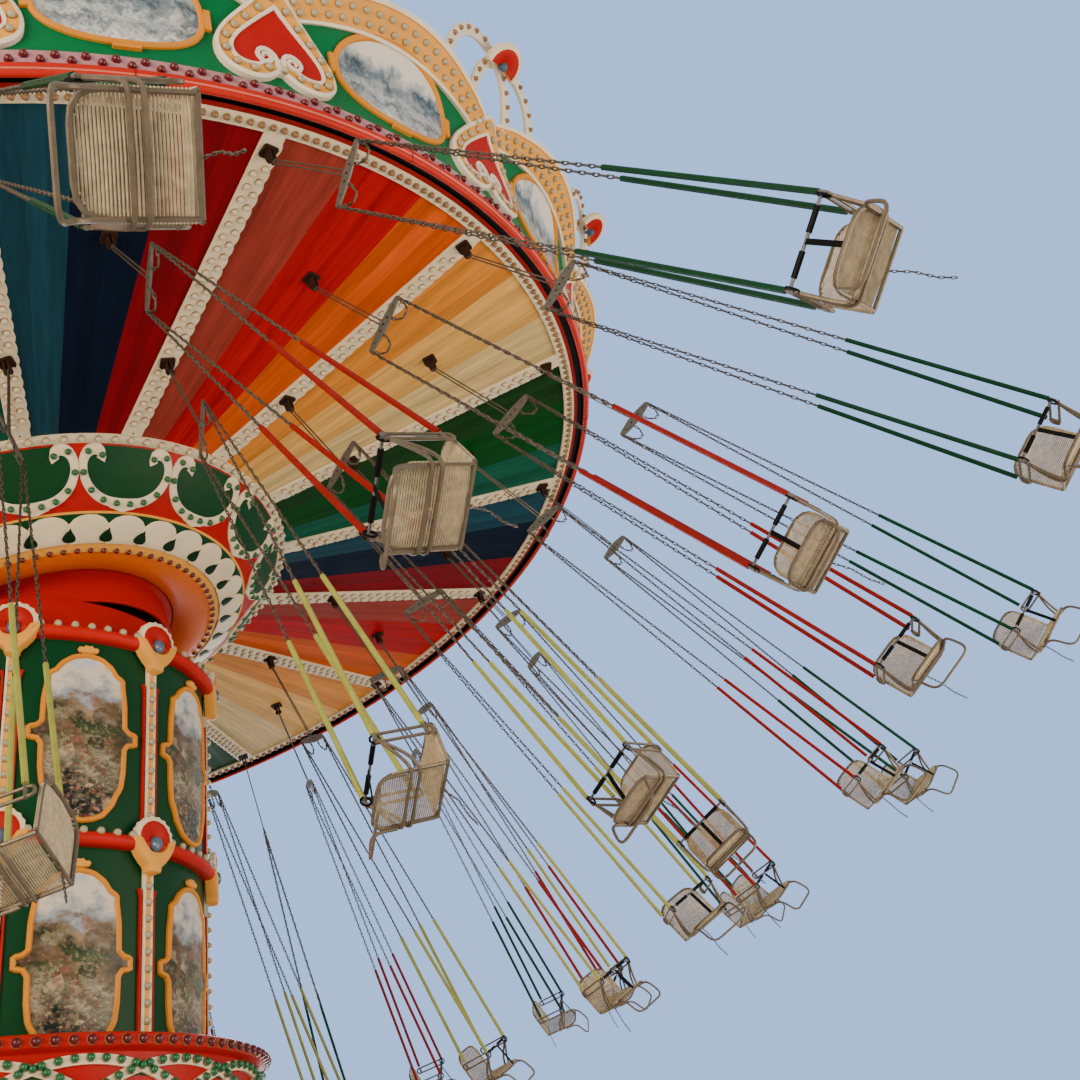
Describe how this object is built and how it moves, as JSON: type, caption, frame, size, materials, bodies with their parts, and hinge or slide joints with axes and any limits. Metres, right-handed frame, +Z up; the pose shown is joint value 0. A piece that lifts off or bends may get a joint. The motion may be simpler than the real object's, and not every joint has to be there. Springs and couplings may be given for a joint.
{
  "type": "chair swing ride",
  "caption": "Chair swing ride in flight: lifting tower, tilting and spinning canopy with crown boards, and rows of chairs on chains swung outwards.",
  "frame": {"origin": "centre of the base's underside, on the floor under the tower axis", "axes": "+Z up along the tower axis; -Y towards the viewer of the picture"},
  "size_m": [17.4888, 17.7395, 11.1871],
  "materials": {
    "base_paint": "gloss paint, worn",
    "mast_steel": "grey machine paint",
    "tower_green": "dark green gloss paint with framed panels",
    "trim_red": "red, white and yellow gloss paint",
    "head_red": "red paint",
    "collar_paint": "cream, green, red and orange gloss paint",
    "ceiling_paint": "painted sectors in graded colours",
    "ray_cream": "cream gloss paint",
    "rim_red": "coral red gloss paint",
    "crown_green": "green paint with framed ovals",
    "crest_gold": "yellow, white and red gloss paint",
    "roof_sheet": "weathered paint on sheet panels with battens",
    "chair_steel": "silver-painted steel tube and galvanised chain"
  },
  "bodies": {
    "base": {"base_drum": "base_paint"},
    "mast": {"lift_mast": "mast_steel"},
    "tower": {"tower_casing": "tower_green", "tower_trim": "trim_red"},
    "head": {"tilt_head": "head_red"},
    "canopy": {"collar_drum": "collar_paint", "canopy_ceiling": "ceiling_paint", "canopy_rays": "ray_cream", "rim_ring": "rim_red", "crown_panels": "crown_green", "crown_trim": "crest_gold", "canopy_roof": "roof_sheet"},
    "chair_outer_01": {"chair_outer_01": "chair_steel"},
    "chair_outer_02": {"chair_outer_02": "chair_steel"},
    "chair_outer_03": {"chair_outer_03": "chair_steel"},
    "chair_outer_04": {"chair_outer_04": "chair_steel"},
    "chair_outer_05": {"chair_outer_05": "chair_steel"},
    "chair_outer_06": {"chair_outer_06": "chair_steel"},
    "chair_outer_07": {"chair_outer_07": "chair_steel"},
    "chair_outer_08": {"chair_outer_08": "chair_steel"},
    "chair_outer_09": {"chair_outer_09": "chair_steel"},
    "chair_outer_10": {"chair_outer_10": "chair_steel"},
    "chair_outer_11": {"chair_outer_11": "chair_steel"},
    "chair_outer_12": {"chair_outer_12": "chair_steel"},
    "chair_outer_13": {"chair_outer_13": "chair_steel"},
    "chair_outer_14": {"chair_outer_14": "chair_steel"},
    "chair_outer_15": {"chair_outer_15": "chair_steel"},
    "chair_outer_16": {"chair_outer_16": "chair_steel"},
    "chair_middle_01": {"chair_middle_01": "chair_steel"},
    "chair_middle_02": {"chair_middle_02": "chair_steel"},
    "chair_middle_03": {"chair_middle_03": "chair_steel"},
    "chair_middle_04": {"chair_middle_04": "chair_steel"},
    "chair_middle_05": {"chair_middle_05": "chair_steel"},
    "chair_middle_06": {"chair_middle_06": "chair_steel"},
    "chair_middle_07": {"chair_middle_07": "chair_steel"},
    "chair_middle_08": {"chair_middle_08": "chair_steel"},
    "chair_middle_09": {"chair_middle_09": "chair_steel"},
    "chair_middle_10": {"chair_middle_10": "chair_steel"},
    "chair_middle_11": {"chair_middle_11": "chair_steel"},
    "chair_middle_12": {"chair_middle_12": "chair_steel"},
    "chair_middle_13": {"chair_middle_13": "chair_steel"},
    "chair_middle_14": {"chair_middle_14": "chair_steel"},
    "chair_middle_15": {"chair_middle_15": "chair_steel"},
    "chair_middle_16": {"chair_middle_16": "chair_steel"},
    "chair_inner_01": {"chair_inner_01": "chair_steel"},
    "chair_inner_02": {"chair_inner_02": "chair_steel"},
    "chair_inner_03": {"chair_inner_03": "chair_steel"},
    "chair_inner_04": {"chair_inner_04": "chair_steel"},
    "chair_inner_05": {"chair_inner_05": "chair_steel"},
    "chair_inner_06": {"chair_inner_06": "chair_steel"},
    "chair_inner_07": {"chair_inner_07": "chair_steel"},
    "chair_inner_08": {"chair_inner_08": "chair_steel"},
    "chair_inner_09": {"chair_inner_09": "chair_steel"},
    "chair_inner_10": {"chair_inner_10": "chair_steel"},
    "chair_inner_11": {"chair_inner_11": "chair_steel"},
    "chair_inner_12": {"chair_inner_12": "chair_steel"},
    "chair_inner_13": {"chair_inner_13": "chair_steel"},
    "chair_inner_14": {"chair_inner_14": "chair_steel"},
    "chair_inner_15": {"chair_inner_15": "chair_steel"},
    "chair_inner_16": {"chair_inner_16": "chair_steel"}
  },
  "joints": [
    {"name": "tower_lift", "type": "slide", "parent": "base", "child": "mast", "axis": [0, 0, 1], "range_m": [-1.35, 0.35]},
    {"name": "tower_turn", "type": "hinge", "parent": "mast", "child": "tower", "pos_m": [0, 0, 6.64], "axis": [0, 0, 1], "continuous": true},
    {"name": "canopy_tilt", "type": "hinge", "parent": "tower", "child": "head", "pos_m": [0, 0, 7.956], "axis": [-0.5238, -0.8518, 0], "range_deg": [-14.06, 0]},
    {"name": "canopy_spin", "type": "hinge", "parent": "head", "child": "canopy", "pos_m": [0, 0, 7.956], "axis": [-0.2069, 0.1273, 0.97], "continuous": true},
    {"name": "swing_outer_01", "type": "hinge", "parent": "canopy", "child": "chair_outer_01", "pos_m": [-0.64943, -5.29471, 8.38317], "axis": [-0.9783, -0.0206, -0.206], "range_deg": [-36.77, 0]},
    {"name": "swing_outer_02", "type": "hinge", "parent": "canopy", "child": "chair_outer_02", "pos_m": [1.38827, -5.10013, 8.79235], "axis": [-0.8996, -0.4145, -0.1375], "range_deg": [-36.16, 0]},
    {"name": "swing_outer_03", "type": "hinge", "parent": "canopy", "child": "chair_outer_03", "pos_m": [3.21856, -4.13154, 9.05573], "axis": [-0.6658, -0.7448, -0.0443], "range_deg": [-35.8, 0]},
    {"name": "swing_outer_04", "type": "hinge", "parent": "canopy", "child": "chair_outer_04", "pos_m": [4.56279, -2.53637, 9.13323], "axis": [-0.3141, -0.9477, 0.0573], "range_deg": [-35.75, 0]},
    {"name": "swing_outer_05", "type": "hinge", "parent": "canopy", "child": "chair_outer_05", "pos_m": [5.21632, -0.55749, 9.01304], "axis": [0.0909, -0.9847, 0.1486], "range_deg": [-36.02, 0]},
    {"name": "swing_outer_06", "type": "hinge", "parent": "canopy", "child": "chair_outer_06", "pos_m": [5.07965, 1.50384, 8.71345], "axis": [0.4743, -0.8542, 0.2132], "range_deg": [-36.57, 0]},
    {"name": "swing_outer_07", "type": "hinge", "parent": "canopy", "child": "chair_outer_07", "pos_m": [4.17359, 3.3338, 8.28009], "axis": [0.772, -0.5878, 0.2418], "range_deg": [-37.28, 0]},
    {"name": "swing_outer_08", "type": "hinge", "parent": "canopy", "child": "chair_outer_08", "pos_m": [2.63608, 4.6538, 7.77892], "axis": [0.9432, -0.2376, 0.2324], "range_deg": [-38.03, 0]},
    {"name": "swing_outer_09", "type": "hinge", "parent": "canopy", "child": "chair_outer_09", "pos_m": [0.70118, 5.26288, 7.28625], "axis": [0.9721, 0.139, 0.1891], "range_deg": [-38.71, 0]},
    {"name": "swing_outer_10", "type": "hinge", "parent": "canopy", "child": "chair_outer_10", "pos_m": [-1.33652, 5.06831, 6.87707], "axis": [0.8641, 0.4887, 0.1202], "range_deg": [-39.23, 0]},
    {"name": "swing_outer_11", "type": "hinge", "parent": "canopy", "child": "chair_outer_11", "pos_m": [-3.16681, 4.09971, 6.61368], "axis": [0.6402, 0.7674, 0.0359], "range_deg": [-39.52, 0]},
    {"name": "swing_outer_12", "type": "hinge", "parent": "canopy", "child": "chair_outer_12", "pos_m": [-4.51104, 2.50455, 6.53619], "axis": [0.3318, 0.9419, -0.0528], "range_deg": [-39.56, 0]},
    {"name": "swing_outer_13", "type": "hinge", "parent": "canopy", "child": "chair_outer_13", "pos_m": [-5.16457, 0.52567, 6.65638], "axis": [-0.022, 0.9906, -0.1347], "range_deg": [-39.34, 0]},
    {"name": "swing_outer_14", "type": "hinge", "parent": "canopy", "child": "chair_outer_14", "pos_m": [-5.0279, -1.53567, 6.95596], "axis": [-0.3766, 0.9047, -0.199], "range_deg": [-38.88, 0]},
    {"name": "swing_outer_15", "type": "hinge", "parent": "canopy", "child": "chair_outer_15", "pos_m": [-4.12184, -3.36563, 7.38933], "axis": [-0.6846, 0.6895, -0.2365], "range_deg": [-38.24, 0]},
    {"name": "swing_outer_16", "type": "hinge", "parent": "canopy", "child": "chair_outer_16", "pos_m": [-2.58433, -4.68563, 7.89049], "axis": [-0.8987, 0.3673, -0.2399], "range_deg": [-37.5, 0]},
    {"name": "swing_middle_01", "type": "hinge", "parent": "canopy", "child": "chair_middle_01", "pos_m": [0.32007, -4.35512, 8.43297], "axis": [-0.9726, -0.1341, -0.1899], "range_deg": [-29.41, 0]},
    {"name": "swing_middle_02", "type": "hinge", "parent": "canopy", "child": "chair_middle_02", "pos_m": [1.93813, -3.86854, 8.71432], "axis": [-0.8451, -0.5228, -0.1117], "range_deg": [-28.77, 0]},
    {"name": "swing_middle_03", "type": "hinge", "parent": "canopy", "child": "chair_middle_03", "pos_m": [3.26609, -2.79608, 8.85691], "axis": [-0.5637, -0.8259, -0.0119], "range_deg": [-28.45, 0]},
    {"name": "swing_middle_04", "type": "hinge", "parent": "canopy", "child": "chair_middle_04", "pos_m": [4.10179, -1.30099, 8.83905], "axis": [-0.1778, -0.9799, 0.0906], "range_deg": [-28.52, 0]},
    {"name": "swing_middle_05", "type": "hinge", "parent": "canopy", "child": "chair_middle_05", "pos_m": [4.318, 0.38911, 8.66345], "axis": [0.2357, -0.9558, 0.1757], "range_deg": [-28.96, 0]},
    {"name": "swing_middle_06", "type": "hinge", "parent": "canopy", "child": "chair_middle_06", "pos_m": [3.8818, 2.01691, 8.35685], "axis": [0.5987, -0.7677, 0.2284], "range_deg": [-29.69, 0]},
    {"name": "swing_middle_07", "type": "hinge", "parent": "canopy", "child": "chair_middle_07", "pos_m": [2.85961, 3.33459, 7.96592], "axis": [0.8533, -0.4616, 0.2426], "range_deg": [-30.57, 0]},
    {"name": "swing_middle_08", "type": "hinge", "parent": "canopy", "child": "chair_middle_08", "pos_m": [1.40704, 4.14156, 7.55017], "axis": [0.9708, -0.0959, 0.2197], "range_deg": [-31.44, 0]},
    {"name": "swing_middle_09", "type": "hinge", "parent": "canopy", "child": "chair_middle_09", "pos_m": [-0.25477, 4.31496, 7.17291], "axis": [0.9476, 0.2727, 0.1664], "range_deg": [-32.18, 0]},
    {"name": "swing_middle_10", "type": "hinge", "parent": "canopy", "child": "chair_middle_10", "pos_m": [-1.87282, 3.82838, 6.89157], "axis": [0.7973, 0.5965, 0.0918], "range_deg": [-32.71, 0]},
    {"name": "swing_middle_11", "type": "hinge", "parent": "canopy", "child": "chair_middle_11", "pos_m": [-3.20078, 2.75592, 6.74897], "axis": [0.5452, 0.8383, 0.0063], "range_deg": [-32.95, 0]},
    {"name": "swing_middle_12", "type": "hinge", "parent": "canopy", "child": "chair_middle_12", "pos_m": [-4.03648, 1.26083, 6.76683], "axis": [0.2236, 0.9714, -0.0797], "range_deg": [-32.9, 0]},
    {"name": "swing_middle_13", "type": "hinge", "parent": "canopy", "child": "chair_middle_13", "pos_m": [-4.25269, -0.42927, 6.94243], "axis": [-0.1291, 0.9793, -0.156], "range_deg": [-32.55, 0]},
    {"name": "swing_middle_14", "type": "hinge", "parent": "canopy", "child": "chair_middle_14", "pos_m": [-3.8165, -2.05707, 7.24904], "axis": [-0.4705, 0.8564, -0.2127], "range_deg": [-31.94, 0]},
    {"name": "swing_middle_15", "type": "hinge", "parent": "canopy", "child": "chair_middle_15", "pos_m": [-2.79431, -3.37475, 7.63997], "axis": [-0.7547, 0.6102, -0.241], "range_deg": [-31.14, 0]},
    {"name": "swing_middle_16", "type": "hinge", "parent": "canopy", "child": "chair_middle_16", "pos_m": [-1.34174, -4.18172, 8.05571], "axis": [-0.9353, 0.2652, -0.2343], "range_deg": [-30.25, 0]},
    {"name": "swing_inner_01", "type": "hinge", "parent": "canopy", "child": "chair_inner_01", "pos_m": [-0.35406, -3.20936, 8.04052], "axis": [-0.9022, 0.3587, -0.2395], "range_deg": [-21.28, 0]},
    {"name": "swing_inner_02", "type": "hinge", "parent": "canopy", "child": "chair_inner_02", "pos_m": [0.87237, -3.09225, 8.28679], "axis": [-0.9783, -0.0377, -0.2038], "range_deg": [-20.28, 0]},
    {"name": "swing_inner_03", "type": "hinge", "parent": "canopy", "child": "chair_inner_03", "pos_m": [1.97397, -2.50929, 8.44532], "axis": [-0.8848, -0.4475, -0.13], "range_deg": [-19.46, 0]},
    {"name": "swing_inner_04", "type": "hinge", "parent": "canopy", "child": "chair_inner_04", "pos_m": [2.78302, -1.5492, 8.49196], "axis": [-0.6171, -0.7863, -0.0285], "range_deg": [-19.02, 0]},
    {"name": "swing_inner_05", "type": "hinge", "parent": "canopy", "child": "chair_inner_05", "pos_m": [3.17636, -0.35818, 8.41962], "axis": [-0.2222, -0.9717, 0.0801], "range_deg": [-19.04, 0]},
    {"name": "swing_inner_06", "type": "hinge", "parent": "canopy", "child": "chair_inner_06", "pos_m": [3.0941, 0.88248, 8.23931], "axis": [0.2107, -0.9624, 0.1712], "range_deg": [-19.52, 0]},
    {"name": "swing_inner_07", "type": "hinge", "parent": "canopy", "child": "chair_inner_07", "pos_m": [2.54877, 1.98387, 7.97848], "axis": [0.5885, -0.7759, 0.2273], "range_deg": [-20.36, 0]},
    {"name": "swing_inner_08", "type": "hinge", "parent": "canopy", "child": "chair_inner_08", "pos_m": [1.62339, 2.77834, 7.67685], "axis": [0.8494, -0.4687, 0.2427], "range_deg": [-21.37, 0]},
    {"name": "swing_inner_09", "type": "hinge", "parent": "canopy", "child": "chair_inner_09", "pos_m": [0.45884, 3.14493, 7.38032], "axis": [0.9695, -0.1061, 0.2207], "range_deg": [-22.39, 0]},
    {"name": "swing_inner_10", "type": "hinge", "parent": "canopy", "child": "chair_inner_10", "pos_m": [-0.76759, 3.02782, 7.13405], "axis": [0.9518, 0.2556, 0.1695], "range_deg": [-23.28, 0]},
    {"name": "swing_inner_11", "type": "hinge", "parent": "canopy", "child": "chair_inner_11", "pos_m": [-1.86919, 2.44485, 6.97552], "axis": [0.8135, 0.5732, 0.0983], "range_deg": [-23.91, 0]},
    {"name": "swing_inner_12", "type": "hinge", "parent": "canopy", "child": "chair_inner_12", "pos_m": [-2.67824, 1.48477, 6.92888], "axis": [0.5791, 0.8151, 0.0166], "range_deg": [-24.24, 0]},
    {"name": "swing_inner_13", "type": "hinge", "parent": "canopy", "child": "chair_inner_13", "pos_m": [-3.07158, 0.29374, 7.00122], "axis": [0.2772, 0.9585, -0.0666], "range_deg": [-24.23, 0]},
    {"name": "swing_inner_14", "type": "hinge", "parent": "canopy", "child": "chair_inner_14", "pos_m": [-2.98932, -0.94691, 7.18153], "axis": [-0.0602, 0.988, -0.1424], "range_deg": [-23.87, 0]},
    {"name": "swing_inner_15", "type": "hinge", "parent": "canopy", "child": "chair_inner_15", "pos_m": [-2.44399, -2.04831, 7.44236], "axis": [-0.3971, 0.8953, -0.2022], "range_deg": [-23.21, 0]},
    {"name": "swing_inner_16", "type": "hinge", "parent": "canopy", "child": "chair_inner_16", "pos_m": [-1.51861, -2.84278, 7.744], "axis": [-0.6929, 0.681, -0.2371], "range_deg": [-22.31, 0]}
  ],
  "couplings": [
    {"joint": "swing_outer_01", "follows": "canopy_tilt", "ratio": 2.6143},
    {"joint": "swing_outer_02", "follows": "canopy_tilt", "ratio": 2.5711},
    {"joint": "swing_outer_03", "follows": "canopy_tilt", "ratio": 2.5452},
    {"joint": "swing_outer_04", "follows": "canopy_tilt", "ratio": 2.5417},
    {"joint": "swing_outer_05", "follows": "canopy_tilt", "ratio": 2.5613},
    {"joint": "swing_outer_06", "follows": "canopy_tilt", "ratio": 2.6001},
    {"joint": "swing_outer_07", "follows": "canopy_tilt", "ratio": 2.6506},
    {"joint": "swing_outer_08", "follows": "canopy_tilt", "ratio": 2.7041},
    {"joint": "swing_outer_09", "follows": "canopy_tilt", "ratio": 2.7525},
    {"joint": "swing_outer_10", "follows": "canopy_tilt", "ratio": 2.7894},
    {"joint": "swing_outer_11", "follows": "canopy_tilt", "ratio": 2.8103},
    {"joint": "swing_outer_12", "follows": "canopy_tilt", "ratio": 2.8131},
    {"joint": "swing_outer_13", "follows": "canopy_tilt", "ratio": 2.7974},
    {"joint": "swing_outer_14", "follows": "canopy_tilt", "ratio": 2.7649},
    {"joint": "swing_outer_15", "follows": "canopy_tilt", "ratio": 2.7194},
    {"joint": "swing_outer_16", "follows": "canopy_tilt", "ratio": 2.6666},
    {"joint": "swing_middle_01", "follows": "canopy_tilt", "ratio": 2.091},
    {"joint": "swing_middle_02", "follows": "canopy_tilt", "ratio": 2.0453},
    {"joint": "swing_middle_03", "follows": "canopy_tilt", "ratio": 2.0225},
    {"joint": "swing_middle_04", "follows": "canopy_tilt", "ratio": 2.0276},
    {"joint": "swing_middle_05", "follows": "canopy_tilt", "ratio": 2.0593},
    {"joint": "swing_middle_06", "follows": "canopy_tilt", "ratio": 2.1112},
    {"joint": "swing_middle_07", "follows": "canopy_tilt", "ratio": 2.1733},
    {"joint": "swing_middle_08", "follows": "canopy_tilt", "ratio": 2.2352},
    {"joint": "swing_middle_09", "follows": "canopy_tilt", "ratio": 2.2881},
    {"joint": "swing_middle_10", "follows": "canopy_tilt", "ratio": 2.3255},
    {"joint": "swing_middle_11", "follows": "canopy_tilt", "ratio": 2.3431},
    {"joint": "swing_middle_12", "follows": "canopy_tilt", "ratio": 2.3392},
    {"joint": "swing_middle_13", "follows": "canopy_tilt", "ratio": 2.3143},
    {"joint": "swing_middle_14", "follows": "canopy_tilt", "ratio": 2.2708},
    {"joint": "swing_middle_15", "follows": "canopy_tilt", "ratio": 2.2138},
    {"joint": "swing_middle_16", "follows": "canopy_tilt", "ratio": 2.1507},
    {"joint": "swing_inner_01", "follows": "canopy_tilt", "ratio": 1.513},
    {"joint": "swing_inner_02", "follows": "canopy_tilt", "ratio": 1.4414},
    {"joint": "swing_inner_03", "follows": "canopy_tilt", "ratio": 1.3837},
    {"joint": "swing_inner_04", "follows": "canopy_tilt", "ratio": 1.3518},
    {"joint": "swing_inner_05", "follows": "canopy_tilt", "ratio": 1.3533},
    {"joint": "swing_inner_06", "follows": "canopy_tilt", "ratio": 1.3877},
    {"joint": "swing_inner_07", "follows": "canopy_tilt", "ratio": 1.4471},
    {"joint": "swing_inner_08", "follows": "canopy_tilt", "ratio": 1.5193},
    {"joint": "swing_inner_09", "follows": "canopy_tilt", "ratio": 1.592},
    {"joint": "swing_inner_10", "follows": "canopy_tilt", "ratio": 1.6548},
    {"joint": "swing_inner_11", "follows": "canopy_tilt", "ratio": 1.7002},
    {"joint": "swing_inner_12", "follows": "canopy_tilt", "ratio": 1.7234},
    {"joint": "swing_inner_13", "follows": "canopy_tilt", "ratio": 1.7223},
    {"joint": "swing_inner_14", "follows": "canopy_tilt", "ratio": 1.6971},
    {"joint": "swing_inner_15", "follows": "canopy_tilt", "ratio": 1.6501},
    {"joint": "swing_inner_16", "follows": "canopy_tilt", "ratio": 1.5861}
  ]
}
